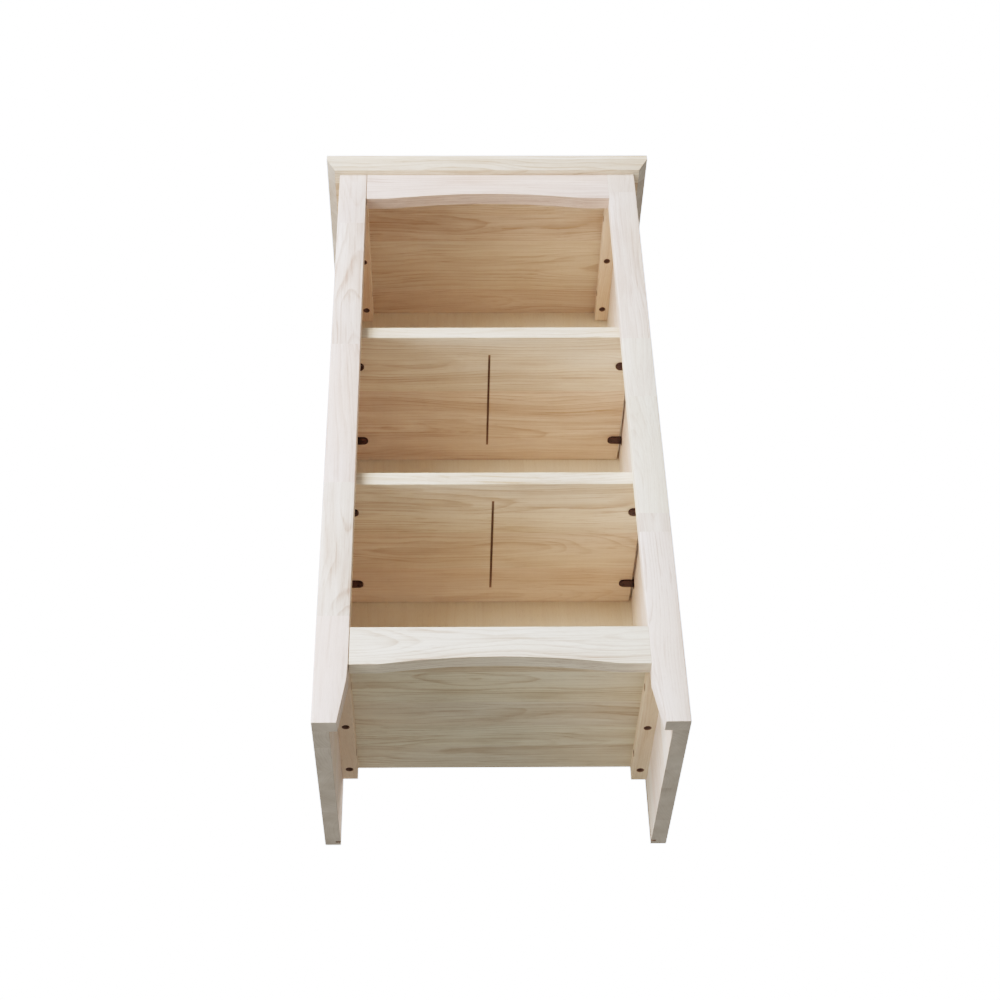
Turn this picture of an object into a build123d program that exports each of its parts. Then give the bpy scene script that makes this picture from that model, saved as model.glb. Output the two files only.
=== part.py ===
"""A small solid-wood bookcase with a face frame, an overhanging top and two adjustable shelves.

Millimetres. +Z is up, -Y is the open front, and the origin is on the floor, at the middle of the
overall width and depth. Each piece that a joiner would pick up is written to its own STEP file.
"""
from build123d import *
from math import sqrt
import os

os.makedirs("parts", exist_ok=True)

# ---- Driving dimensions ------------------------------------------------------------------------
overall_width = 451.0
overall_depth = 305.0
overall_height = 914.4
board = 19.0               # thickness of every solid-wood board
eased = 1.5                # radius sanded onto the edges that a hand can reach

top_side_overhang = 18.0
top_front_overhang = 19.0
top_edge = 9.0             # height of the upright edge above the undercut bevel
top_bevel_inset = 11.0     # how far the bevel runs in under the top

stile_width = 38.0
foot_width = 28.0          # a stile's width at the floor
foot_taper_height = 56.0
rail_height = 50.0
arch_rise = 9.5            # rise of the curve under each rail
arch_chord = 270.0
arch_blend = 60.0          # radius where the curve meets the rail's straight ends
bottom_rail_z = 75.3       # underside of the bottom rail's straight ends

bottom_panel_z = 100.6     # underside of the fixed bottom panel
back_thickness = 3.2
back_setback = 10.0        # from the sides' rear edges to the back panel's front face
groove_width = 3.5
groove_depth = 6.0
back_side_gap = 0.5        # between the back panel's edge and the bottom of its groove
back_bottom_z = 106.0

shelf_length = 373.0
shelf_depth = 251.0
shelf_front_gap = 5.0      # from the face frame's rear face to a shelf's front edge
shelf_shift = -1.0         # the loose shelves lie slightly to the left
shelf_z = {"upper": 600.6, "lower": 352.4}
kerf_length = 184.0        # the saw cut across the underside that keeps a shelf flat
kerf_width = 3.0
kerf_depth = 6.0
saw_radius = 125.0

support_front = 78.5       # from the face frame's front to the front pair of supports
support_spacing = 152.4
hole_pitch = 50.8          # the two spare rows are above each shelf's own row
spare_rows = 2
hole_radius = 3.175
hole_depth = 11.0
shank_clearance = 0.05
shank_length = 9.5
shelf_clearance = 0.3      # from a support's tongue to the shelf
tongue_length = 20.0
tongue_width = 14.0
tongue_thickness = 2.6
collar_thickness = 0.8
collar_radius = 6.0
dimple_radius = 1.6
dimple_depth = 0.8

cleat_length = 248.0
cleat_rear_gap = {"top_left": 0.6, "top_right": 2.0, "bottom_left": 6.5, "bottom_right": 1.5}
cleat_screw_spacing = 100.0    # three screws up into the top, or into the bottom panel
side_screw_spacing = 150.0     # two screws through the cleat into the side
counterbore_radius = 4.5
counterbore_depth = 9.0
screw_radius = 2.1
pilot_radius = 1.9
screw_head_radius = 4.0
screw_head_height = 2.6
screw_length = 24.0
screw_clearance = 0.1
screw_drive_radius = 1.4
screw_drive_depth = 1.6
pilot_overrun = 1.0        # how far a pilot hole goes past the screw's tip

dowel_radius = 4.0
dowel_length = 38.0
dowel_glue = 0.05
dowel_hole_play = 2.0      # how much longer the two holes are than the dowel
dowel_chamfer = 1.0
dowel_spacing = 26.0

brad_radius = 0.8
brad_head_radius = 1.5
brad_head_height = 0.6
brad_length = 18.0
brad_x = (-141.0, -47.0, 47.0, 141.0)
brad_pilot_radius = 0.7

# ---- Dimensions that follow --------------------------------------------------------------------
case_width = overall_width - 2 * top_side_overhang
face_y = -overall_depth / 2 + top_front_overhang
carcass_y = face_y + board
rear_y = overall_depth / 2
top_z = overall_height - board
inner_x = case_width / 2 - board
opening_x = case_width / 2 - stile_width
top_rail_z = top_z - rail_height
back_y = rear_y - back_setback
shelf_y = carcass_y + shelf_front_gap
support_y = (face_y + support_front, face_y + support_front + support_spacing)
shank_drop = shelf_clearance + hole_radius
pilot_reach = counterbore_depth + screw_length + pilot_overrun
rail_solid = rail_height - arch_rise   # the dowels sit in this, above the arch
sides = {"left": -1, "right": 1}


def block(x0, x1, y0, y1, z0, z1):
    """A plain box between two corners."""
    middle = Pos((x0 + x1) / 2, (y0 + y1) / 2, (z0 + z1) / 2)
    return middle * Box(x1 - x0, y1 - y0, z1 - z0)


def rod(radius, start, direction, length):
    """A cylinder from a start point along a direction."""
    return extrude(Plane(origin=start, z_dir=direction) * Circle(radius), length)


def ease(piece, edges):
    """Round the named edges as sandpaper does."""
    return fillet(edges, eased)


def write(piece, node):
    """Write one node's STEP file."""
    export_step(piece, f"parts/{node}.step")


# ---- Positions that several pieces share -------------------------------------------------------
def cleat_box(name):
    """A cleat's corners: x range, y range, z range."""
    sign = -1 if name.endswith("left") else 1
    y1 = back_y - cleat_rear_gap[name]
    z0 = top_z - board if name.startswith("top") else bottom_panel_z - board
    x = sorted((sign * inner_x, sign * (inner_x - board)))
    return x, (y1 - cleat_length, y1), (z0, z0 + board)


def cleat_screws(name):
    """Start point and direction of each screw of a cleat, at the cleat's open face."""
    x, y, z = cleat_box(name)
    sign = -1 if name.endswith("left") else 1
    middle_y = sum(y) / 2
    upright = [((sum(x) / 2, middle_y + k * cleat_screw_spacing, z[0]), (0, 0, 1))
               for k in (-1, 0, 1)]
    across = [((sign * (inner_x - board), middle_y + k * side_screw_spacing / 2, sum(z) / 2),
               (sign, 0, 0)) for k in (-1, 1)]
    return upright + across


cleat_names = tuple(cleat_rear_gap)


def drill_pilots(piece, names):
    """Cut the screws' pilot holes into a board that they bite into."""
    for name in names:
        for start, direction in cleat_screws(name):
            piece -= rod(pilot_radius, start, direction, pilot_reach)
    return piece


def rail_dowel_places(rail_z, height):
    """Middle points of a rail's four dowels."""
    return [(sign * opening_x, face_y + board / 2, rail_z + height / 2 + k * dowel_spacing / 2)
            for sign in (-1, 1) for k in (-1, 1)]


rail_dowels = (rail_dowel_places(top_rail_z + arch_rise, rail_solid)
               + rail_dowel_places(bottom_rail_z + arch_rise, rail_solid))


def drill_dowels(piece):
    """Cut the dowel holes that a stile or rail needs."""
    for x, y, z in rail_dowels:
        hole_length = dowel_length + dowel_hole_play
        piece -= rod(dowel_radius + dowel_glue, (x - hole_length / 2, y, z), (1, 0, 0), hole_length)
    return piece


# ---- Carcass -----------------------------------------------------------------------------------
def top_board():
    """The top: an upright edge over an undercut bevel at the front and both ends."""
    half = overall_width / 2
    bevel_z = overall_height - top_edge
    slab = block(-half, half, -overall_depth / 2, rear_y, bevel_z, overall_height)
    under_depth = overall_depth - top_bevel_inset
    lower = (Plane((0, top_bevel_inset / 2, top_z))
             * Rectangle(overall_width - 2 * top_bevel_inset, under_depth))
    upper = Plane((0, 0, bevel_z)) * Rectangle(overall_width, overall_depth)
    piece = slab + loft([lower, upper])
    piece = ease(piece, piece.edges().group_by(Axis.Z)[-1])
    return drill_pilots(piece, ("top_left", "top_right"))


def side_panel(side):
    """An edge-glued side: grooved for the back, bored for shelf supports and cleat screws."""
    sign = sides[side]
    x = sorted((sign * inner_x, sign * case_width / 2))
    piece = block(*x, carcass_y, rear_y, 0, top_z)
    piece = ease(piece, piece.edges().filter_by(Axis.Z).group_by(Axis.Y)[-1])
    groove_x = sorted((sign * inner_x, sign * (inner_x + groove_depth)))
    piece -= block(*groove_x, back_y, back_y + groove_width, 0, top_z)
    for underside in shelf_z.values():
        for row in range(spare_rows + 1):
            for y in support_y:
                mouth = (sign * inner_x, y, underside - shank_drop + row * hole_pitch)
                piece -= rod(hole_radius, mouth, (sign, 0, 0), hole_depth)
    return drill_pilots(piece, (f"top_{side}", f"bottom_{side}"))


def bottom_panel():
    """The fixed bottom, between the sides and behind the bottom rail."""
    piece = block(-inner_x, inner_x, carcass_y, back_y, bottom_panel_z, bottom_panel_z + board)
    piece = drill_pilots(piece, ("bottom_left", "bottom_right"))
    for x in brad_x:
        start = (x, back_y, bottom_panel_z + board / 2)
        piece -= rod(brad_pilot_radius, start, (0, -1, 0), brad_length)
    return piece


def back_panel():
    """A thin plywood back that slides down the grooves in the sides."""
    half = inner_x + groove_depth - back_side_gap
    piece = block(-half, half, back_y, back_y + back_thickness, back_bottom_z, top_z)
    for x in brad_x:
        start = (x, back_y, bottom_panel_z + board / 2)
        piece -= rod(brad_pilot_radius, start, (0, 1, 0), back_thickness)
    return piece


def back_panel_brads():
    """The row of brads that pins the back to the bottom panel's rear edge."""
    brads = []
    for x in brad_x:
        z = bottom_panel_z + board / 2
        rear = back_y + back_thickness
        shank = rod(brad_radius, (x, rear, z), (0, -1, 0), brad_length)
        head = rod(brad_head_radius, (x, rear, z), (0, 1, 0), brad_head_height)
        brads.append(shank + head)
    return Compound(children=brads)


# ---- Face frame --------------------------------------------------------------------------------
def stile(side):
    """A front upright, its inner edge tapered to a narrower foot at the floor."""
    sign = sides[side]
    outer = sign * case_width / 2
    outline = Polyline(
        (outer, 0),
        (outer, top_z),
        (outer - sign * stile_width, top_z),
        (outer - sign * stile_width, foot_taper_height),
        (outer - sign * foot_width, 0),
        close=True,
    )
    front = Plane(origin=(0, face_y, 0), x_dir=(1, 0, 0), z_dir=(0, -1, 0))
    piece = extrude(front * make_face(outline), -board)
    corner = piece.edges().filter_by(Axis.Z).group_by(Axis.Y)[0].sort_by(Axis.X)
    piece = ease(piece, corner[-1] if sign > 0 else corner[0])
    return drill_dowels(piece)


def rail(rail_z):
    """A cross rail with a shallow arch sawn into its lower edge."""
    half = arch_chord / 2
    outline = [
        Line((half, 0), (opening_x, 0)),
        Line((opening_x, 0), (opening_x, rail_height)),
        Line((opening_x, rail_height), (-opening_x, rail_height)),
        Line((-opening_x, rail_height), (-opening_x, 0)),
        Line((-opening_x, 0), (-half, 0)),
        ThreePointArc((-half, 0), (0, arch_rise), (half, 0)),
    ]
    shape = make_face(outline)
    joins = [v for v in shape.vertices() if abs(abs(v.X) - half) < 0.1]
    shape = fillet(joins, arch_blend)
    front = Plane(origin=(0, face_y, rail_z), x_dir=(1, 0, 0), z_dir=(0, -1, 0))
    return drill_dowels(extrude(front * shape, -board))


def rail_dowel_group(rail_z):
    """The four hardwood dowels that hold a rail to the stiles."""
    pegs = []
    for x, y, z in rail_dowel_places(rail_z + arch_rise, rail_solid):
        peg = rod(dowel_radius, (x - dowel_length / 2, y, z), (1, 0, 0), dowel_length)
        pegs.append(chamfer(peg.edges(), dowel_chamfer))
    return Compound(children=pegs)


# ---- Cleats and their screws -------------------------------------------------------------------
def cleat(name):
    """A square batten, counterbored for its screws, that ties a panel to a side."""
    x, y, z = cleat_box(name)
    piece = block(*x, *y, *z)
    for start, direction in cleat_screws(name):
        piece -= rod(counterbore_radius, start, direction, counterbore_depth)
        piece -= rod(screw_radius + screw_clearance, start, direction, board)
    return piece


def cleat_screw_group(name):
    """The five wood screws of one cleat, heads at the bottom of their counterbores."""
    screws = []
    for start, direction in cleat_screws(name):
        seat = Vector(start) + Vector(direction) * counterbore_depth
        head_start = seat - Vector(direction) * screw_head_height
        head = rod(screw_head_radius, head_start, direction, screw_head_height)
        drive = rod(screw_drive_radius, head_start, direction, screw_drive_depth)
        shank = rod(screw_radius, seat, direction, screw_length)
        screws.append(head - drive + shank)
    return Compound(children=screws)


# ---- Adjustable shelves and their supports -----------------------------------------------------
def shelf(underside):
    """A loose shelf with eased front edges and one stopped saw kerf across its underside."""
    x0 = shelf_shift - shelf_length / 2
    piece = block(x0, x0 + shelf_length, shelf_y, shelf_y + shelf_depth, underside, underside + board)
    piece = ease(piece, piece.edges().filter_by(Axis.X).group_by(Axis.Y)[0])
    run_out = sqrt(2 * saw_radius * kerf_depth - kerf_depth ** 2)
    half = kerf_length / 2
    flat = half - run_out
    outline = [
        Line((-half, 0), (half, 0)),
        RadiusArc((half, 0), (flat, kerf_depth), -saw_radius),
        Line((flat, kerf_depth), (-flat, kerf_depth)),
        RadiusArc((-flat, kerf_depth), (-half, 0), -saw_radius),
    ]
    middle = (shelf_shift - kerf_width / 2, shelf_y + shelf_depth / 2, underside)
    across = Plane(origin=middle, x_dir=(0, 1, 0), z_dir=(1, 0, 0))
    return piece - extrude(across * make_face(outline), kerf_width)


def shelf_support(side, y, underside):
    """A metal support: a round shank in the side, a collar, and a tongue under the shelf."""
    sign = sides[side]
    tongue_top = underside - shelf_clearance
    axis_z = underside - shank_drop
    wall = sign * inner_x
    shank = rod(hole_radius - shank_clearance, (wall, y, axis_z), (sign, 0, 0), shank_length)
    collar = rod(collar_radius, (wall, y, axis_z), (-sign, 0, 0), collar_thickness)
    r = collar_radius
    above = block(wall - r, wall + r, y - r, y + r, tongue_top, tongue_top + r)
    reach = tongue_length - tongue_width / 2
    bar_x = sorted((wall, wall - sign * reach))
    low = tongue_top - tongue_thickness
    bar = block(*bar_x, y - tongue_width / 2, y + tongue_width / 2, low, tongue_top)
    tip = rod(tongue_width / 2, (wall - sign * reach, y, low), (0, 0, 1), tongue_thickness)
    dimple = rod(dimple_radius, (wall - sign * reach, y, low), (0, 0, 1), dimple_depth)
    return shank + (collar - above) + bar + tip - dimple


# ---- Write every node --------------------------------------------------------------------------
write(top_board(), "top_board")
write(bottom_panel(), "bottom_panel")
write(back_panel(), "back_panel")
write(back_panel_brads(), "back_panel_brads")
write(rail(top_rail_z), "top_rail")
write(rail(bottom_rail_z), "bottom_rail")
write(rail_dowel_group(top_rail_z), "top_rail_dowels")
write(rail_dowel_group(bottom_rail_z), "bottom_rail_dowels")
for side in sides:
    write(side_panel(side), f"{side}_side_panel")
    write(stile(side), f"{side}_stile")
for name in cleat_names:
    write(cleat(name), f"{name}_cleat")
    write(cleat_screw_group(name), f"{name}_cleat_screws")
for level, underside in shelf_z.items():
    write(shelf(underside), f"{level}_shelf")
    for side in sides:
        for place, y in zip(("front", "rear"), support_y):
            write(shelf_support(side, y, underside), f"{level}_{side}_{place}_support")
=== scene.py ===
import random
from math import pi, radians, sqrt

import bmesh
import bpy
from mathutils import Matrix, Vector
from mathutils.bvhtree import BVHTree


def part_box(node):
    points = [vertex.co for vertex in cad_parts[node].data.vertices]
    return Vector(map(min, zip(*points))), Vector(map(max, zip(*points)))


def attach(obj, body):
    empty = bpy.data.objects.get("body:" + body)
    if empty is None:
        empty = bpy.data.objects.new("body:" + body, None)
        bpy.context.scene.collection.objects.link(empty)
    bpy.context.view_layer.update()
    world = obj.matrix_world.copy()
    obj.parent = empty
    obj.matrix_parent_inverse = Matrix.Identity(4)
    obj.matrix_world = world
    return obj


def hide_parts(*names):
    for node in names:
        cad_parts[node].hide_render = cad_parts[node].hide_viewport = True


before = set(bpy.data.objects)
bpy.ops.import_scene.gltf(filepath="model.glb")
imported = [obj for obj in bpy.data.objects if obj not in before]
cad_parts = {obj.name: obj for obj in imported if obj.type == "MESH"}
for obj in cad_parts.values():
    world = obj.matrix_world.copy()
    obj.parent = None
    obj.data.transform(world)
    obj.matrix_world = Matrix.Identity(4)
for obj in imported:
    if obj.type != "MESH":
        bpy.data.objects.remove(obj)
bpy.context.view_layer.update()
X, Y, Z = 0, 1, 2


# ---- Side panels -------------------------------------------------------------------------------
# Two upright boards of pale hardwood, each edge-glued from five staves and sanded flat. The inner
# face is ploughed near the rear for the back panel and bored in rows for the shelf supports. The
# rear outer edge is rounded by hand, and every other arris is only broken with sandpaper.
broken_arris = 0.0004
hand_rounding = 0.0015
square_corner = radians(50)
crisp_angle = radians(25)
groove_width = 0.0035
groove_depth = 0.006
cutter_overrun = 0.01
hole_radius = 0.003175
hole_depth = 0.011
hole_rim = 0.0003
hole_pitch = 0.0508
spare_rows = 2
collar_radius = 0.006
side_joints = {"left": (-0.080, -0.0285, 0.0155, 0.0685), "right": (-0.061, -0.0273, 0.0144, 0.0921)}
support_names = [
    f"{level}_{side}_{place}_support"
    for level in ("upper", "lower") for side in ("left", "right") for place in ("front", "rear")
]


def tint(red, green, blue):
    """A colour read off a paint card, 0 to 255, as a shader's linear colour."""
    linear = [((c / 255 + 0.055) / 1.055) ** 2.4 if c > 10 else c / 3294.6 for c in (red, green, blue)]
    return (*linear, 1.0)


def add_block(bm, low, high):
    """Add a square block between two corners."""
    corners = bmesh.ops.create_cube(bm, size=1.0)["verts"]
    bmesh.ops.scale(bm, vec=high - low, verts=corners)
    bmesh.ops.translate(bm, vec=(low + high) / 2, verts=corners)


def blank(low, high):
    """A planed blank between two corners."""
    bm = bmesh.new()
    add_block(bm, low, high)
    return bm


def edges_at(bm, **place):
    """The edges whose two ends both lie at the given x, y or z."""
    return [
        edge for edge in bm.edges
        if all(abs(getattr(v.co, axis) - at) < 1e-5 for v in edge.verts for axis, at in place.items())
    ]


def round_over(bm, edges, radius, segments=3):
    """Round some edges with a cutter or sandpaper."""
    bmesh.ops.bevel(bm, geom=edges, offset=radius, offset_type="OFFSET", segments=segments,
                    profile=0.5, affect="EDGES", material=-1)


def break_arrises(bm, size=broken_arris):
    """Take the sharpness off every edge that is still square."""
    square = [edge for edge in bm.edges if edge.calc_face_angle(0.0) > square_corner]
    round_over(bm, square, size, 1)


def mark_joints(bm, axis, places):
    """Divide the surface at glue lines square to an axis."""
    normal = Vector((0, 0, 0))
    normal[axis] = 1.0
    for place in places:
        everything = bm.verts[:] + bm.edges[:] + bm.faces[:]
        bmesh.ops.bisect_plane(bm, geom=everything, dist=1e-6, plane_co=normal * place, plane_no=normal)


def add_turning(bm, profile, start, direction, steps=32):
    """Add a solid turned about a direction, from (radius, distance along it) points."""
    before = set(bm.verts)
    line = [bm.verts.new((radius, 0, along)) for radius, along in profile]
    edges = [bm.edges.new(pair) for pair in zip(line, line[1:])]
    bmesh.ops.spin(bm, geom=line + edges, cent=(0, 0, 0), axis=(0, 0, 1), angle=2 * pi,
                   steps=steps, use_merge=True)
    turned = [v for v in bm.verts if v not in before]
    bmesh.ops.remove_doubles(bm, verts=turned, dist=1e-7)
    turned = [v for v in bm.verts if v not in before]
    turn = Vector((0, 0, 1)).rotation_difference(Vector(direction)).to_matrix()
    bmesh.ops.rotate(bm, cent=(0, 0, 0), matrix=turn, verts=turned)
    bmesh.ops.translate(bm, vec=start, verts=turned)
    faces = list({face for v in turned for face in v.link_faces})
    bmesh.ops.recalc_face_normals(bm, faces=faces)


def add_drill(bm, mouth, direction, radius, depth):
    """Add a drill bit whose shoulder leaves a small countersink at the hole's mouth."""
    over = 0.001
    profile = [(0, -over), (radius + hole_rim + over, -over), (radius, hole_rim), (radius, depth),
               (0, depth)]
    add_turning(bm, profile, mouth, direction)


def make_object(name, bm):
    """Put a bmesh in the scene as an object at the origin."""
    mesh = bpy.data.meshes.new(name)
    bm.to_mesh(mesh)
    bm.free()
    part = bpy.data.objects.new(name, mesh)
    bpy.context.scene.collection.objects.link(part)
    return part


def machine(part, tool_bm, operation="DIFFERENCE"):
    """Cut a tool's shape out of a piece, or join one to it, and note which faces the tool left."""
    swept = BVHTree.FromBMesh(tool_bm)
    tool = make_object("tool", tool_bm)
    cut = part.modifiers.new("cut", "BOOLEAN")
    cut.operation = operation
    cut.solver = "EXACT"
    cut.use_self = True
    cut.object = tool
    seen = part.evaluated_get(bpy.context.evaluated_depsgraph_get())
    shaped = bpy.data.meshes.new_from_object(seen)
    part.modifiers.clear()
    part.data = shaped
    bpy.data.objects.remove(tool)
    # Mark the faces the tool left; the wood paints them dark as shade in the recess.
    tool_face_shade = shaped.attributes.get("tool_face_shade") or shaped.attributes.new("tool_face_shade", "FLOAT", "FACE")
    for face, mark in zip(shaped.polygons, tool_face_shade.data):
        if swept.find_nearest(face.center)[3] < 1e-6:
            mark.value = 1.0


def set_grain(part, grain, divided, joints, seed, looks=None):
    """Give each stave its own place in the tree, and its own depth of tone, figure and flush."""
    draw = random.Random(seed)
    mesh = part.data
    corners = [Vector(corner) for corner in part.bound_box]
    low, high = corners[0], corners[6]
    limits = [low[divided], *sorted(joints), high[divided]]
    thin = min((axis for axis in (X, Y, Z) if axis != grain), key=lambda axis: high[axis] - low[axis])
    piths = []
    if looks is None:
        looks = [(draw.uniform(-0.8, 0.8), draw.uniform(0.6, 1.4), draw.uniform(-0.5, 0.5))
                 for _ in limits[1:]]
    for start, end in zip(limits, limits[1:]):
        pith = (low + high) / 2
        pith[divided] = (start + end) / 2
        for axis in (X, Y, Z):
            if axis == thin:
                pith[axis] += draw.choice((-1, 1)) * draw.uniform(0.02, 0.07)
            elif axis != grain:
                pith[axis] += draw.uniform(-0.03, 0.03)
        pith[grain] = draw.uniform(-2.0, 2.0)
        piths.append(pith)
    staves = [sum(face.center[divided] > joint for joint in limits[1:-1]) for face in mesh.polygons]
    layer = mesh.attributes.new("pith", "FLOAT_VECTOR", "FACE")
    layer.data.foreach_set("vector", [value for stave in staves for value in piths[stave]])
    layer = mesh.attributes.new("look", "FLOAT_VECTOR", "FACE")
    layer.data.foreach_set("vector", [value for stave in staves for value in looks[stave]])


def bare_wood(name, grain, early, late, ring=0.0038, figure=1.0, end_shade=0.0):
    """Bare sanded hardwood: rings about a pith, slow bands, fine streaks, open pores, end grain."""
    wood = bpy.data.materials.new(name)
    wood.use_nodes = True
    tree = wood.node_tree
    shader = tree.nodes["Principled BSDF"]

    def node(kind, *sources, **settings):
        new = tree.nodes.new("ShaderNode" + kind)
        for setting, value in settings.items():
            setattr(new, setting, value)
        for socket, source in zip(new.inputs, sources):
            if isinstance(source, bpy.types.NodeSocket):
                tree.links.new(source, socket)
            elif source is not None:
                socket.default_value = source
        return new

    def calculate(operation, *sources):
        return node("Math", *sources, operation=operation).outputs[0]

    def stretched(source, along, across):
        factors = [across] * 3
        factors[grain] = along
        return node("VectorMath", source, factors, operation="MULTIPLY").outputs[0]

    def noise(source, detail=2.0, roughness=0.5):
        return node("TexNoise", source, None, 1.0, detail, roughness)

    def ramp(source, *stops):
        new = node("ValToRGB", source)
        elements = new.color_ramp.elements
        elements.remove(elements[1])
        elements[0].position = stops[0][0]
        elements[0].color = (stops[0][1],) * 3 + (1.0,)
        for position, value in stops[1:]:
            elements.new(position).color = (value,) * 3 + (1.0,)
        return new.outputs["Color"]

    def blended(factor, first, second, blend="MIX"):
        return node("MixRGB", factor, first, second, blend_type=blend).outputs[0]

    warmth = (1.0, 0.97, 0.925, 1.0)
    pink = (1.0, 0.93, 0.935, 1.0)
    straw = (0.97, 1.0, 0.92, 1.0)
    pale_end = (0.66, 0.60, 0.54, 1.0)
    dark_end = (0.40, 0.35, 0.31, 1.0)
    # Near-black brown for cut faces: painted shade in recesses, with a little tool browning.
    burn_and_recess_shade = (0.16, 0.06, 0.03, 1.0)
    coordinates = node("TexCoord")
    pith = node("Attribute", attribute_name="pith").outputs["Vector"]
    tool_face_shade = node("Attribute", attribute_name="tool_face_shade").outputs["Fac"]
    look = node("SeparateXYZ", node("Attribute", attribute_name="look").outputs["Vector"])
    tone, strength, flush = look.outputs
    inside = node("VectorMath", coordinates.outputs["Object"], pith, operation="SUBTRACT").outputs[0]

    # The wood's place in the tree, bent a little, and the growth rings around the pith.
    slow = noise(stretched(inside, 2.6, 9.0)).outputs["Color"]
    centred = node("VectorMath", slow, (0.5, 0.5, 0.5), operation="SUBTRACT").outputs[0]
    bent = node("VectorMath", centred, (0.045, 0.045, 0.045), inside, operation="MULTIPLY_ADD").outputs[0]
    ripple = noise(stretched(inside, 45.0, 90.0)).outputs["Color"]
    bent = node("VectorMath", ripple, (0.0012, 0.0012, 0.0012), bent, operation="MULTIPLY_ADD").outputs[0]
    across = stretched(bent, 0.0, 1.0 / ring)
    radius = node("VectorMath", across, operation="LENGTH").outputs["Value"]
    uneven = node("TexNoise", None, radius, 0.4, 1.0, noise_dimensions="1D").outputs["Fac"]
    count = calculate("MULTIPLY_ADD", uneven, 2.2, radius)
    ring_line = ramp(calculate("FRACT", count),
                     (0.0, 0.0), (0.5, 0.15), (0.86, 1.0), (0.97, 0.1), (1.0, 0.0))
    ring_strength = ramp(noise(stretched(inside, 3.0, 22.0)).outputs["Fac"], (0.34, 0.1), (0.62, 1.0))
    rings = calculate("MULTIPLY", ring_line, ring_strength)

    # Slow bands of colour, dark lines, fine streaks, cloudy mottle and open pores along the grain.
    bands = calculate("SUBTRACT", noise(stretched(bent, 1.0, 45.0), 3.0, 0.6).outputs["Fac"], 0.5)
    lines = ramp(noise(stretched(bent, 3.0, 330.0), 4.0, 0.62).outputs["Fac"], (0.52, 0.0), (0.74, 1.0))
    streaks = calculate("SUBTRACT", noise(stretched(inside, 12.0, 620.0), 3.0, 0.7).outputs["Fac"], 0.5)
    mottle = calculate("SUBTRACT", noise(stretched(inside, 14.0, 40.0), 3.0).outputs["Fac"], 0.5)
    blotches = noise(stretched(inside, 5.0, 16.0), 2.0).outputs["Fac"]
    pores = ramp(noise(stretched(inside, 130.0, 2600.0), 1.0).outputs["Fac"], (0.60, 0.0), (0.70, 1.0))

    # From early wood to late wood, then warmer in blotches, and pinker or more like straw.
    drawn = calculate("MULTIPLY", strength, figure)
    depth = calculate("MULTIPLY_ADD", tone, 0.20, 0.30)
    for part, share in ((rings, 0.42), (bands, 1.1), (lines, 0.45), (streaks, 0.7), (mottle, 0.5)):
        depth = calculate("MULTIPLY_ADD", part, calculate("MULTIPLY", drawn, share), depth)
    shade = node("MapRange", depth, 0.0, 1.4, 0.0, 1.0).outputs[0]
    colour = blended(shade, early, late)
    colour = blended(ramp(blotches, (0.35, 0.0), (0.7, 1.0)), colour, warmth, "MULTIPLY")
    colour = blended(flush, colour, pink, "MULTIPLY")
    colour = blended(calculate("MULTIPLY", flush, -1.0), colour, straw, "MULTIPLY")
    pore_colour = tuple(c * 0.35 for c in late[:3]) + (1.0,)
    colour = blended(calculate("MULTIPLY", pores, 0.16), colour, pore_colour)

    # End grain soaks up more light. Cut faces are darkened almost to black: painted shade in the recesses
    # the tools left, with a little tool browning.
    facing = node("SeparateXYZ", coordinates.outputs["Normal"]).outputs[grain]
    end_grain = ramp(calculate("ABSOLUTE", facing), (0.35, 0.0), (0.60, 1.0))
    end_mottle = noise(stretched(inside, 40.0, 40.0), 4.0).outputs["Fac"]
    end_depth = calculate("MULTIPLY_ADD", end_mottle, 1.6, -0.45)
    end_depth = calculate("ADD", calculate("MULTIPLY_ADD", rings, 0.25, end_depth), end_shade)
    end_depth = calculate("MULTIPLY_ADD", tone, 0.12, end_depth)
    end_colour = blended(end_depth, pale_end, dark_end)
    colour = blended(calculate("MULTIPLY", end_grain, 0.85), colour, end_colour)
    colour = blended(calculate("MULTIPLY", tool_face_shade, 0.85), colour, burn_and_recess_shade)

    relief = calculate("MULTIPLY_ADD", pores, -1.0, calculate("MULTIPLY", streaks, 0.5))
    bump = node("Bump", 0.35, 0.0003, None, relief)
    tree.links.new(bump.outputs["Normal"], shader.inputs["Normal"])
    dull = node("MapRange", calculate("ADD", pores, end_grain), 0.0, 1.0, 0.55, 0.78).outputs[0]
    tree.links.new(dull, shader.inputs["Roughness"])
    tree.links.new(colour, shader.inputs["Base Color"])
    shader.inputs["Specular IOR Level"].default_value = 0.35
    return wood


def fit(part, node, body, material):
    """Put a finished piece in the place of its CAD node."""
    part.data.shade_smooth()
    part.data.set_sharp_from_angle(angle=crisp_angle)
    part.data.materials.clear()
    part.data.materials.append(material)
    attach(part, body)
    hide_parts(node)


upright_board = bare_wood("board_wood_upright", Z, tint(249, 238, 231), tint(212, 182, 163), figure=0.8)
groove_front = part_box("back_panel")[0].y

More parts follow.
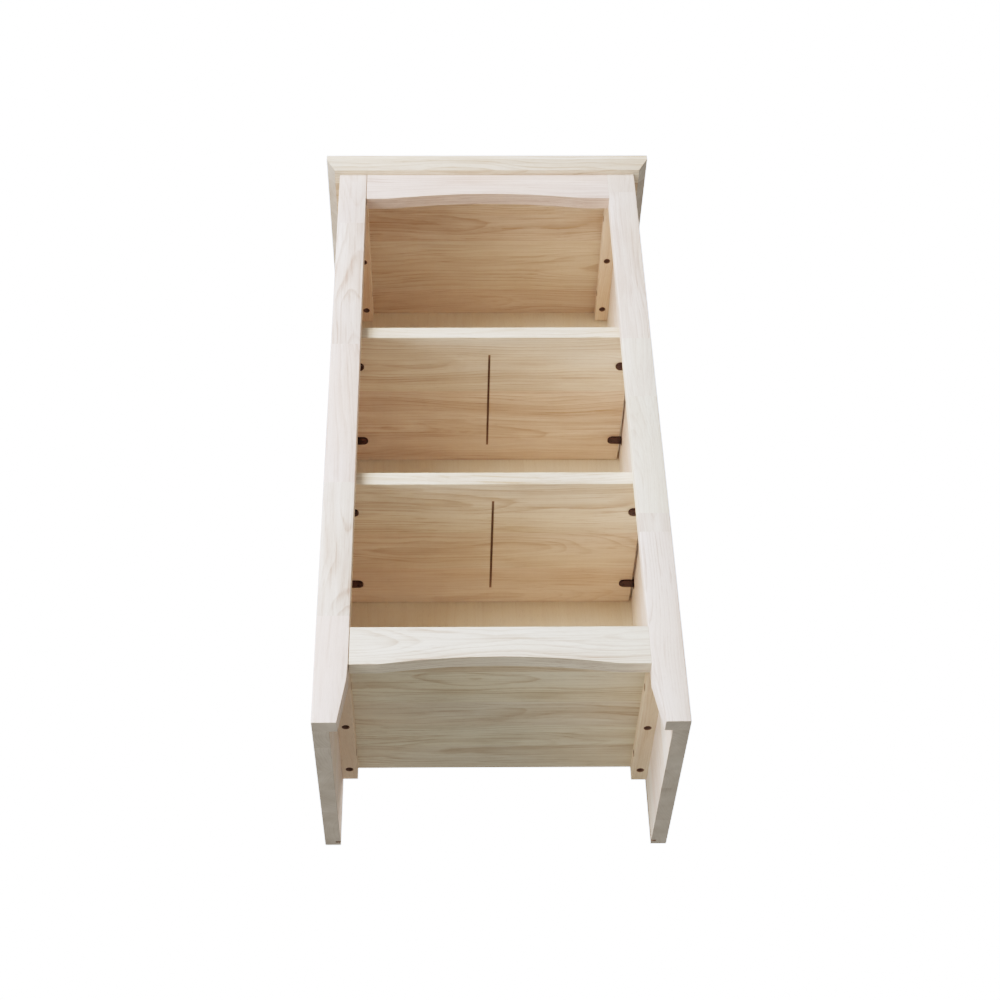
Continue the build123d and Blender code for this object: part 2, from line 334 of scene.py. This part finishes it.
for side, outward in (("left", -1), ("right", 1)):
    low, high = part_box(f"{side}_side_panel")
    inner, outer = (high.x, low.x) if outward < 0 else (low.x, high.x)
    bm = blank(low, high)
    round_over(bm, edges_at(bm, x=outer, y=high.y), hand_rounding)
    break_arrises(bm)
    mark_joints(bm, Y, side_joints[side])
    panel = make_object(f"{side}_side", bm)
    groove_x = sorted((inner - outward * groove_depth, inner + outward * groove_depth))
    machine(panel, blank(Vector((groove_x[0], groove_front, low.z - cutter_overrun)),
                         Vector((groove_x[1], groove_front + groove_width, high.z + cutter_overrun))))
    drills = bmesh.new()
    for name in support_names:
        if f"_{side}_" not in name:
            continue
        support_low, support_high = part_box(name)
        hole_y = (support_low.y + support_high.y) / 2
        for row in range(spare_rows + 1):
            hole_z = support_low.z + collar_radius + row * hole_pitch
            add_drill(drills, (inner, hole_y, hole_z), (outward, 0, 0), hole_radius, hole_depth)
    machine(panel, drills)
    set_grain(panel, Z, Y, side_joints[side], 11 + outward)
    fit(panel, f"{side}_side_panel", "case", upright_board)


# ---- Bottom panel ------------------------------------------------------------------------------
# A fixed board between the sides, glued up from five staves and screwed down to two cleats.
bottom_joints = (-0.0773, -0.0122, 0.040, 0.0871)
bottom_looks = ((-0.2, 1.2, -0.3), (-1.0, 1.7, -0.6), (0.0, 1.5, -0.3), (-0.6, 1.5, -0.6),
                (0.2, 1.6, -0.4))
level_board = bare_wood("board_wood_level", X, tint(244, 231, 214), tint(184, 154, 125), end_shade=0.35)

bm = blank(*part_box("bottom_panel"))
break_arrises(bm)
mark_joints(bm, Y, bottom_joints)
bottom = make_object("bottom", bm)
set_grain(bottom, X, Y, bottom_joints, 21, bottom_looks)
fit(bottom, "bottom_panel", "case", level_board)


# ---- Top board ---------------------------------------------------------------------------------
# One glued-up board that overhangs the case. Its front and ends are bevelled underneath with a
# cutter, below a short upright edge, and its upper edges are rounded by hand.
top_joints = (-0.118, -0.0575, -0.0065, 0.0915)
top_looks = ((-0.7, 1.2, 0.1), (2.0, 1.4, 0.3), (2.5, 1.3, 0.4), (1.0, 1.0, 0.0), (2.0, 1.0, 0.4))
upright_edge = 0.009
bevel_inset = 0.011

low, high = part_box("top_board")
bm = blank(low, high)
mark_joints(bm, Z, [high.z - upright_edge])
for corner in bm.verts:
    if corner.co.z < low.z + 1e-5:
        corner.co.x -= bevel_inset if corner.co.x > 0 else -bevel_inset
        corner.co.y += bevel_inset if corner.co.y < 0 else 0.0
round_over(bm, edges_at(bm, z=high.z), hand_rounding)
break_arrises(bm)
mark_joints(bm, Y, top_joints)
top = make_object("top", bm)
set_grain(top, X, Y, top_joints, 31, top_looks)
fit(top, "top_board", "case", level_board)


# ---- Cleats and their screws -------------------------------------------------------------------
# Square battens in the corners tie the top and the bottom to the sides. Each is counterbored for
# three upright screws and two that go into the side. The screws are pan-headed, with a cross recess
# and a coarse thread.
counterbore_radius = 0.0045
counterbore_depth = 0.009
screw_spacing = 0.100
side_screw_spacing = 0.150
screw_hole_radius = 0.0022
screw_hole_depth = 0.030
head_radius = 0.004
head_height = 0.0026
screw_length = 0.024
plain_neck = 0.004
thread_end = 0.003
point_length = 0.002
thread_radius = 0.0021
core_radius = 0.0014
thread_pitch = 0.0018
recess_width = 0.0008
recess_reach = 0.0022
recess_depth = 0.0014
cleat_wood = bare_wood("cleat_wood", Y, tint(247, 229, 209), tint(200, 162, 128), figure=0.8)


def metal(name, colour, roughness, mottle, metallic=1.0):
    """Plated or lacquered steel, slightly uneven in colour and shine."""
    steel = bpy.data.materials.new(name)
    steel.use_nodes = True
    tree = steel.node_tree
    shader = tree.nodes["Principled BSDF"]
    place = tree.nodes.new("ShaderNodeTexCoord")
    specks = tree.nodes.new("ShaderNodeTexNoise")
    specks.inputs["Scale"].default_value = 900.0
    specks.inputs["Detail"].default_value = 4.0
    tree.links.new(place.outputs["Object"], specks.inputs["Vector"])
    shade = tree.nodes.new("ShaderNodeValToRGB")
    shade.color_ramp.elements[0].position = 0.3
    shade.color_ramp.elements[0].color = tuple(c * (1 - mottle) for c in colour[:3]) + (1.0,)
    shade.color_ramp.elements[1].position = 0.7
    shade.color_ramp.elements[1].color = tuple(min(1.0, c * (1 + mottle)) for c in colour[:3]) + (1.0,)
    tree.links.new(specks.outputs["Fac"], shade.inputs["Fac"])
    tree.links.new(shade.outputs["Color"], shader.inputs["Base Color"])
    shine = tree.nodes.new("ShaderNodeMapRange")
    shine.inputs["To Min"].default_value = roughness - 0.08
    shine.inputs["To Max"].default_value = roughness + 0.1
    tree.links.new(specks.outputs["Fac"], shine.inputs["Value"])
    tree.links.new(shine.outputs["Result"], shader.inputs["Roughness"])
    bump = tree.nodes.new("ShaderNodeBump")
    bump.inputs["Strength"].default_value = 0.15
    bump.inputs["Distance"].default_value = 0.0001
    tree.links.new(specks.outputs["Fac"], bump.inputs["Height"])
    tree.links.new(bump.outputs["Normal"], shader.inputs["Normal"])
    shader.inputs["Metallic"].default_value = metallic
    return steel


def screw_profile():
    """A pan-headed wood screw, from the head's rim to the point of the thread."""
    profile = [(0, 0), (head_radius * 0.7, 0), (head_radius, head_height * 0.5),
               (head_radius, head_height), (thread_radius, head_height)]
    crest = head_height + plain_neck
    tip = head_height + screw_length
    profile.append((thread_radius, crest))
    while crest + thread_pitch < tip - thread_end:
        profile.append((core_radius, crest + thread_pitch / 2))
        crest += thread_pitch
        profile.append((thread_radius, crest))
    return profile + [(core_radius, tip - point_length), (0, tip)]


zinc = metal("screw_steel", tint(110, 76, 56), 0.42, 0.25)

for name in ("top_left", "top_right", "bottom_left", "bottom_right"):
    low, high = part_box(f"{name}_cleat")
    middle = (low + high) / 2
    inward = 1 if name.endswith("left") else -1
    face_x = high.x if inward > 0 else low.x
    upright = [((middle.x, middle.y + k * screw_spacing, low.z), (0, 0, 1)) for k in (-1, 0, 1)]
    sideways = [((face_x, middle.y + k * side_screw_spacing / 2, middle.z), (-inward, 0, 0))
                for k in (-1, 1)]
    bm = blank(low, high)
    break_arrises(bm)
    cleat = make_object(f"{name}_batten", bm)
    drills = bmesh.new()
    screws = bmesh.new()
    recesses = bmesh.new()
    for mouth, direction in upright + sideways:
        add_drill(drills, mouth, direction, counterbore_radius, counterbore_depth)
        through = [(0, 0), (screw_hole_radius, 0), (screw_hole_radius, screw_hole_depth),
                   (0, screw_hole_depth)]
        add_turning(drills, through, mouth, direction)
        seat = Vector(mouth) + Vector(direction) * (counterbore_depth - head_height)
        add_turning(screws, screw_profile(), seat, direction, 24)
        driven = max((X, Y, Z), key=lambda axis: abs(direction[axis]))
        for arm in {X, Y, Z} - {driven}:
            half = Vector((recess_width / 2, recess_width / 2, recess_width / 2))
            half[arm] = recess_reach
            half[driven] = recess_depth
            add_block(recesses, seat - half, seat + half)
    machine(cleat, drills)
    set_grain(cleat, Y, Y, (), f"{name} cleat")
    fit(cleat, f"{name}_cleat", "case", cleat_wood)
    fixings = make_object(f"{name}_screws", screws)
    machine(fixings, recesses)
    fit(fixings, f"{name}_cleat_screws", "case", zinc)


# ---- Back panel and its brads ------------------------------------------------------------------
# Thin three-ply, slid down the grooves with its figure upright, and pinned along the bottom
# panel's rear edge with bright steel brads.
ply_arris = 0.0002
ply = bare_wood("back_plywood", Z, tint(241, 226, 206), tint(190, 158, 126), 0.012, 0.35, end_shade=1.0)
bm = blank(*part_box("back_panel"))
round_over(bm, bm.edges[:], ply_arris, 1)
back = make_object("back", bm)
set_grain(back, Z, Z, (), 41)
fit(back, "back_panel", "case", ply)

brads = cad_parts["back_panel_brads"]
brads.data.materials.clear()
brads.data.materials.append(metal("brad_steel", tint(176, 176, 174), 0.3, 0.12))


# ---- Stiles ------------------------------------------------------------------------------------
# The face frame's uprights, made of short blocks joined end to end. Each tapers on its inner side
# to a narrower foot. The front edges are rounded by hand, except the inner ones beside the rails.
foot_width = 0.028
taper_height = 0.056
stile_joints = {"left": (0.141, 0.337, 0.567, 0.796), "right": (0.260, 0.288, 0.475, 0.576, 0.858)}
stile_looks = {
    "left": ((-0.6, 0.8, 0.9), (0.2, 1.5, -0.1), (0.1, 1.0, 0.8), (0.1, 1.4, 0.4), (0.8, 0.9, 0.5)),
    "right": ((-1.2, 1.4, 0.6), (-0.4, 1.4, 0.1), (-1.2, 0.8, -0.6), (-0.9, 1.0, -0.3), (-0.6, 1.4, 0.5),
              (-0.1, 0.8, 0.4)),
}
cream = tint(244, 234, 225)
blush = tint(180, 155, 146)
upright_frame = bare_wood("frame_wood_upright", Z, cream, blush, 0.003)
lower_rail, upper_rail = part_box("bottom_rail"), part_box("top_rail")

for side, outward in (("left", -1), ("right", 1)):
    low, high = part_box(f"{side}_stile")
    outer = high.x if outward > 0 else low.x
    inner = low.x if outward > 0 else high.x
    bm = blank(low, high)
    mark_joints(bm, Z, [taper_height, lower_rail[0].z, lower_rail[1].z, upper_rail[0].z])
    for corner in bm.verts:
        if corner.co.z < 1e-5 and abs(corner.co.x - inner) < 1e-5:
            corner.co.x = outer - outward * foot_width
    front = []
    for edge in edges_at(bm, y=low.y):
        start, end = (vertex.co for vertex in edge.verts)
        middle = (start + end) / 2
        beside_rail = any(rail[0].z < middle.z < rail[1].z for rail in (lower_rail, upper_rail))
        outside = abs(middle.x - outer) < 1e-5
        upright = abs(start.z - end.z) > 0.001
        square = edge.calc_face_angle(0.0) > square_corner
        if upright and square and (outside or not beside_rail):
            front.append(edge)
    round_over(bm, front, hand_rounding)
    break_arrises(bm)
    mark_joints(bm, Z, stile_joints[side])
    stile = make_object(f"{side}_upright", bm)
    set_grain(stile, Z, Z, stile_joints[side], f"{side} stile", stile_looks[side])
    fit(stile, f"{side}_stile", "case", upright_frame)


# ---- Rails and their dowels --------------------------------------------------------------------
# The face frame's cross rails, with a shallow arch bandsawn into the lower edge and sanded into
# the straight ends. Two dowels at each end hold a rail to the stiles. The left joints are not quite
# closed up, and show as a dark line.
arch_chord = 0.270
arch_rise = 0.0095
arch_steps = 90
arch_softness = 0.0004
left_gap = 0.0008
rail_rounding = 0.0008
tight_arris = 0.00015
level_frame = bare_wood("frame_wood_level", X, cream, blush, 0.003)
rail_looks = {"top_rail": ((0.6, 1.2, 1.0),), "bottom_rail": ((-1.0, 1.4, -0.6),)}
dowel_wood = bare_wood("dowel_wood", X, tint(226, 202, 168), tint(186, 146, 104))

arch_radius = (arch_chord ** 2 / 4 + arch_rise ** 2) / (2 * arch_rise)


def arch_height(x):
    """How far the arch is above the rail's straight ends, eased where the two meet."""
    lift = sqrt(arch_radius ** 2 - x ** 2) - arch_radius + arch_rise
    return (lift + sqrt(lift ** 2 + arch_softness ** 2)) / 2


for name in ("top_rail", "bottom_rail"):
    low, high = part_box(name)
    low.x += left_gap
    bm = blank(low, high)
    mark_joints(bm, X, [low.x + (high.x - low.x) * step / arch_steps for step in range(1, arch_steps)])
    for corner in bm.verts:
        if corner.co.z < low.z + 1e-5:
            corner.co.z += arch_height(corner.co.x)
    round_over(bm, edges_at(bm, y=low.y, z=high.z), rail_rounding, 2)
    break_arrises(bm, tight_arris)
    rail = make_object(name.replace("_rail", "_cross_rail"), bm)
    set_grain(rail, X, X, (), name, rail_looks[name])
    fit(rail, name, "case", level_frame)
    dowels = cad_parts[f"{name}_dowels"]
    dowels.data.materials.clear()
    dowels.data.materials.append(dowel_wood)


# ---- Adjustable shelves ------------------------------------------------------------------------
# Two loose boards with rounded front edges. Their ends are darkened almost to black: painted shade for
# the narrow gap beside the side panels, with some saw browning.
# A stopped saw cut across the middle of the underside keeps each one flat; its faces are painted dark as
# shade inside the cut.
shelf_joints = {"upper": (-0.0049, 0.0915), "lower": (-0.0109, 0.0644)}
shelf_looks = {
    "upper": ((-0.6, 1.2, 0.0), (0.7, 1.5, 0.6), (0.7, 1.0, 0.7)),
    "lower": ((-0.3, 1.7, 0.0), (0.8, 1.1, 0.4), (0.8, 1.0, 0.8)),
}
kerf_length = 0.184
kerf_width = 0.003
kerf_depth = 0.006
saw_radius = 0.125
saw_burn_and_gap_shade = 1.15


def thicken(bm, thickness):
    """Raise a flat outline, drawn square to Z, into a plate with all its faces outward."""
    extruded = bmesh.ops.extrude_face_region(bm, geom=bm.faces[:])
    raised = [item for item in extruded["geom"] if isinstance(item, bmesh.types.BMVert)]
    bmesh.ops.translate(bm, vec=(0, 0, thickness), verts=raised)
    bmesh.ops.recalc_face_normals(bm, faces=bm.faces)


for level in ("upper", "lower"):
    low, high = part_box(f"{level}_shelf")
    bm = blank(low, high)
    front = edges_at(bm, y=low.y, z=high.z) + edges_at(bm, y=low.y, z=low.z)
    round_over(bm, front, hand_rounding)
    break_arrises(bm)
    mark_joints(bm, Y, shelf_joints[level])
    shelf = make_object(f"{level}_loose_shelf", bm)
    middle = (low + high) / 2
    run_out = sqrt(2 * saw_radius * kerf_depth - kerf_depth ** 2)
    travel = kerf_length / 2 - run_out
    saw = bmesh.new()
    bmesh.ops.create_circle(saw, cap_ends=True, radius=saw_radius, segments=160)
    bmesh.ops.bisect_plane(saw, geom=saw.verts[:] + saw.edges[:] + saw.faces[:], dist=1e-7,
                           plane_co=(0, saw_radius - kerf_depth - 0.001, 0), plane_no=(0, -1, 0),
                           clear_outer=True)
    for corner in saw.verts:
        corner.co.x += travel if corner.co.x > 0 else -travel
    thicken(saw, kerf_width)
    for corner in saw.verts:
        along, up, wide = corner.co
        corner.co = (middle.x + wide - kerf_width / 2, middle.y + along,
                     low.z + up - saw_radius + kerf_depth)
    machine(shelf, saw)
    # The sawn ends get the strongest painted shade, for the dark gap beside the side panels, with some
    # saw browning.
    for face, mark in zip(shelf.data.polygons, shelf.data.attributes["tool_face_shade"].data):
        if abs(face.normal.x) > 0.9:
            mark.value = saw_burn_and_gap_shade
    set_grain(shelf, X, Y, shelf_joints[level], f"{level} shelf", shelf_looks[level])
    fit(shelf, f"{level}_shelf", f"{level}_shelf", level_board)


# ---- Shelf supports ----------------------------------------------------------------------------
# Small pressed and plated steel pegs. A round shank goes into the side, a collar stops against
# it, and a flat tongue with a pressed dimple lies under the shelf.
tongue_width = 0.014
tongue_thickness = 0.0026
tongue_rounding = 0.0005
collar_thickness = 0.0008
collar_chamfer = 0.0004
shank_radius = 0.003125
shank_chamfer = 0.0006
shank_overlap = 0.0005
dimple_radius = 0.0016
dimple_depth = 0.0008
bronze = metal("support_bronze", tint(60, 38, 36), 0.2, 0.3, 0.7)

for name in support_names:
    low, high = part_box(name)
    inward = 1 if "_left_" in name else -1
    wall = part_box("left_side_panel")[1].x if inward > 0 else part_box("right_side_panel")[0].x
    middle_y = (low.y + high.y) / 2
    axis_z = low.z + collar_radius
    tip_x = high.x if inward > 0 else low.x
    centre_x = tip_x - inward * tongue_width / 2
    tongue = bmesh.new()
    bmesh.ops.create_circle(tongue, cap_ends=True, radius=tongue_width / 2, segments=48)
    for corner in tongue.verts:
        if corner.co.x * inward < -1e-6:
            corner.co.x = wall - centre_x
            corner.co.y = tongue_width / 2 if corner.co.y > 0 else -tongue_width / 2
    bmesh.ops.remove_doubles(tongue, verts=tongue.verts, dist=1e-5)
    thicken(tongue, tongue_thickness)
    bmesh.ops.translate(tongue, vec=(centre_x, middle_y, high.z - tongue_thickness), verts=tongue.verts)
    rims = [edge for edge in tongue.edges if edge.calc_face_angle(0.0) > square_corner]
    round_over(tongue, rims, tongue_rounding, 3)
    peg = make_object(name.replace("_support", "_peg"), tongue)
    round_parts = bmesh.new()
    shank = wall - low.x if inward > 0 else high.x - wall
    add_turning(round_parts, [(0, -shank_overlap), (shank_radius, -shank_overlap),
                              (shank_radius, shank - shank_chamfer),
                              (shank_radius - shank_chamfer, shank), (0, shank)],
                (wall, middle_y, axis_z), (-inward, 0, 0))
    machine(peg, round_parts, "UNION")
    collar = bmesh.new()
    add_turning(collar, [(0, 0), (collar_radius, 0), (collar_radius, collar_thickness * 0.6),
                         (collar_radius - collar_chamfer, collar_thickness), (0, collar_thickness)],
                (wall, middle_y, axis_z), (inward, 0, 0), 48)
    bmesh.ops.bisect_plane(collar, geom=collar.verts[:] + collar.edges[:] + collar.faces[:],
                           dist=1e-7, plane_co=(0, 0, high.z), plane_no=(0, 0, 1), clear_outer=True)
    bmesh.ops.holes_fill(collar, edges=[edge for edge in collar.edges if edge.is_boundary])
    machine(peg, collar, "UNION")
    dimple = bmesh.new()
    add_turning(dimple, [(0, -0.001), (dimple_radius * 1.5, -0.001),
                         (dimple_radius, dimple_depth * 0.2),
                         (dimple_radius * 0.9, dimple_depth * 0.55),
                         (dimple_radius * 0.6, dimple_depth * 0.9), (0, dimple_depth)],
                (centre_x, middle_y, high.z - tongue_thickness), (0, 0, 1), 24)
    machine(peg, dimple)
    fit(peg, name, name, bronze)


# ---- Studio ------------------------------------------------------------------------------------
# A pale floor that is seen only from above and fades into an even white surround. A large soft light
# stands in front and to the left, a second one low on the left, and a third high on the right, behind.
film_white = 3.0
floor_size = 30.0
fade_start = 0.35
fade_end = 1.6

bm = bmesh.new()
bmesh.ops.create_grid(bm, x_segments=1, y_segments=1, size=floor_size)
floor = make_object("floor", bm)
floor_paint = bpy.data.materials.new("floor_paint")
floor_paint.use_nodes = True
tree = floor_paint.node_tree
paint = tree.nodes["Principled BSDF"]
paint.inputs["Base Color"].default_value = (0.86, 0.86, 0.86, 1.0)
paint.inputs["Roughness"].default_value = 0.9
glow = tree.nodes.new("ShaderNodeEmission")
glow.inputs["Strength"].default_value = film_white
place = tree.nodes.new("ShaderNodeTexCoord")
away = tree.nodes.new("ShaderNodeVectorMath")
away.operation = "LENGTH"
tree.links.new(place.outputs["Object"], away.inputs[0])
fade = tree.nodes.new("ShaderNodeMapRange")
fade.interpolation_type = "SMOOTHSTEP"
fade.inputs["From Min"].default_value = fade_start
fade.inputs["From Max"].default_value = fade_end
tree.links.new(away.outputs["Value"], fade.inputs["Value"])
sweep = tree.nodes.new("ShaderNodeMixShader")
tree.links.new(fade.outputs["Result"], sweep.inputs["Fac"])
tree.links.new(paint.outputs["BSDF"], sweep.inputs[1])
tree.links.new(glow.outputs["Emission"], sweep.inputs[2])
below = tree.nodes.new("ShaderNodeNewGeometry")
clear = tree.nodes.new("ShaderNodeBsdfTransparent")
one_sided = tree.nodes.new("ShaderNodeMixShader")
tree.links.new(below.outputs["Backfacing"], one_sided.inputs["Fac"])
tree.links.new(sweep.outputs["Shader"], one_sided.inputs[1])
tree.links.new(clear.outputs["BSDF"], one_sided.inputs[2])
tree.links.new(one_sided.outputs["Shader"], tree.nodes["Material Output"].inputs["Surface"])
floor.data.materials.append(floor_paint)
floor.visible_shadow = False
floor.visible_diffuse = False
floor.visible_glossy = False

world = bpy.data.worlds.new("white_surround")
bpy.context.scene.world = world
world.use_nodes = True
tree = world.node_tree
fill = tree.nodes["Background"]
fill.inputs["Color"].default_value = (0.94, 0.975, 1.0, 1.0)
fill.inputs["Strength"].default_value = 0.43
backdrop = tree.nodes.new("ShaderNodeBackground")
backdrop.inputs["Color"].default_value = (1.0, 1.0, 1.0, 1.0)
backdrop.inputs["Strength"].default_value = film_white
rays = tree.nodes.new("ShaderNodeLightPath")
surround = tree.nodes.new("ShaderNodeMixShader")
tree.links.new(rays.outputs["Is Camera Ray"], surround.inputs["Fac"])
tree.links.new(fill.outputs["Background"], surround.inputs[1])
tree.links.new(backdrop.outputs["Background"], surround.inputs[2])
tree.links.new(surround.outputs["Shader"], tree.nodes["World Output"].inputs["Surface"])

case_middle = Vector((0, 0, 0.45))


def softbox(name, direction, distance, size, power):
    """A square area light that faces the middle of the case."""
    lamp = bpy.data.lights.new(name, "AREA")
    lamp.size = size
    lamp.energy = power
    holder = bpy.data.objects.new(name, lamp)
    bpy.context.scene.collection.objects.link(holder)
    away = Vector(direction).normalized()
    holder.location = case_middle + away * distance
    holder.rotation_euler = away.to_track_quat("Z", "Y").to_euler()
    holder.visible_camera = False


softbox("key", (-0.62, -1.0, 0.28), 3.2, 1.6, 174)
softbox("low_left", (-1.0, -0.5, -0.3), 3.2, 1.6, 85)
softbox("high_right", (0.7, 0.5, 0.75), 3.0, 1.5, 90)

camera = bpy.data.objects.new("camera", bpy.data.cameras.new("camera"))
bpy.context.scene.collection.objects.link(camera)
camera.location = (-0.0608, -1.7487, -0.9745)
camera.rotation_euler = (radians(128.465), radians(0.448), radians(-0.286))
camera.data.lens = 61.92
camera.data.sensor_width = 36.0
camera.data.shift_x = 0.04
bpy.context.scene.camera = camera

# The film holds back the brightest wood, as a camera does, and leaves the darker tones alone.
film_tones = ((0.20, 0.20), (0.317, 0.30), (0.458, 0.40), (0.636, 0.50), (0.871, 0.60),
              (1.217, 0.70), (1.76, 0.80), (2.15, 0.85))
green_tones = ((0.205, 0.198), (0.376, 0.376), (0.546, 0.560), (0.68, 0.70))
blue_tones = ((0.102, 0.086), (0.223, 0.204), (0.376, 0.376), (0.546, 0.59), (0.645, 0.70))
view = bpy.context.scene.view_settings
view.view_transform = "Standard"
view.use_curve_mapping = True
view.curve_mapping.white_level = (film_white, film_white, film_white)
for light, tone in film_tones:
    view.curve_mapping.curves[3].points.new(light / film_white, tone)
for layer, layer_tones in ((1, green_tones), (2, blue_tones)):
    for light, tone in layer_tones:
        view.curve_mapping.curves[layer].points.new(light, tone)
view.curve_mapping.update()
